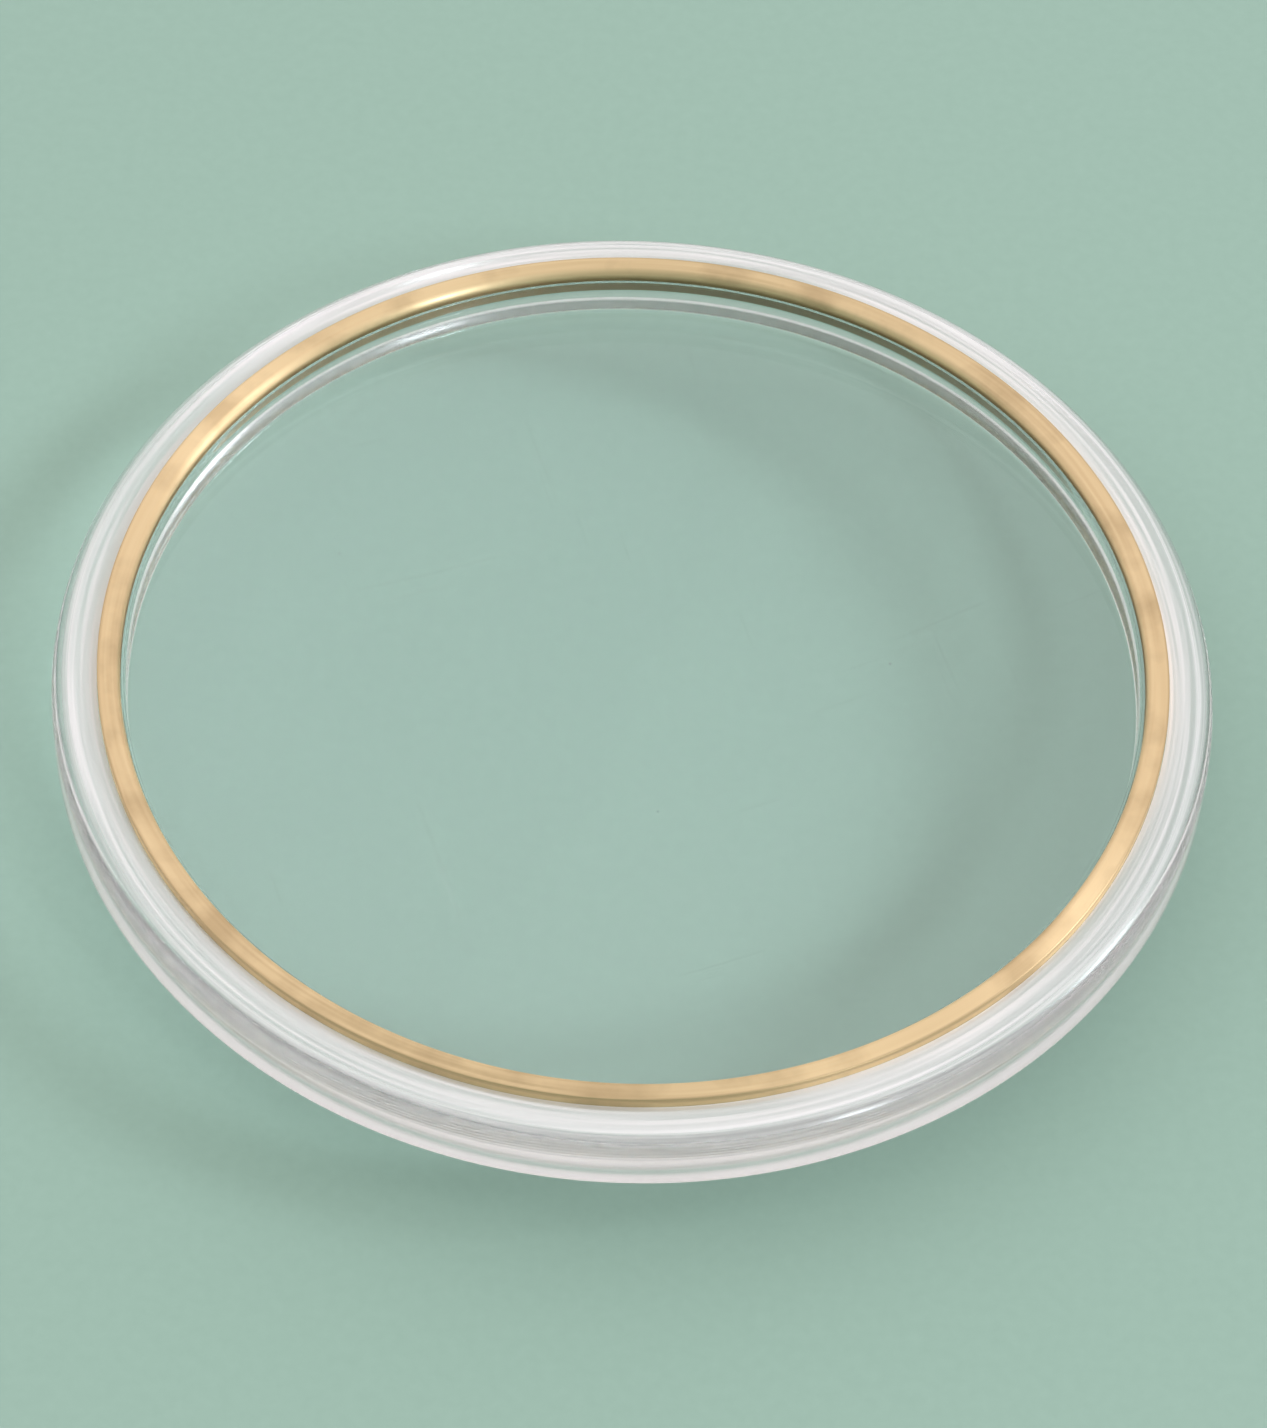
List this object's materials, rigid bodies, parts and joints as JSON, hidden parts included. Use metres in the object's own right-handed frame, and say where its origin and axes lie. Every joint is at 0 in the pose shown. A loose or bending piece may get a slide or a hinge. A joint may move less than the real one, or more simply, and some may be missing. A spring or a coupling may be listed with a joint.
{
  "type": "watch crystal",
  "caption": "Domed acrylic watch crystal with a straight skirt and a brass tension ring pressed into its end face, lying dome down.",
  "frame": {"origin": "apex of the dome, which is the lowest point and lies on the surface", "axes": "+Z along the axis of symmetry, from the dome to the end face that seats in the watch case"},
  "size_m": [0.031, 0.031, 0.004],
  "materials": {
    "clear_acrylic": "polished dome, finely turned rim",
    "ring_brass": "turned, satin"
  },
  "bodies": {
    "root": {"crystal": "clear_acrylic", "tension_ring": "ring_brass"}
  },
  "joints": []
}
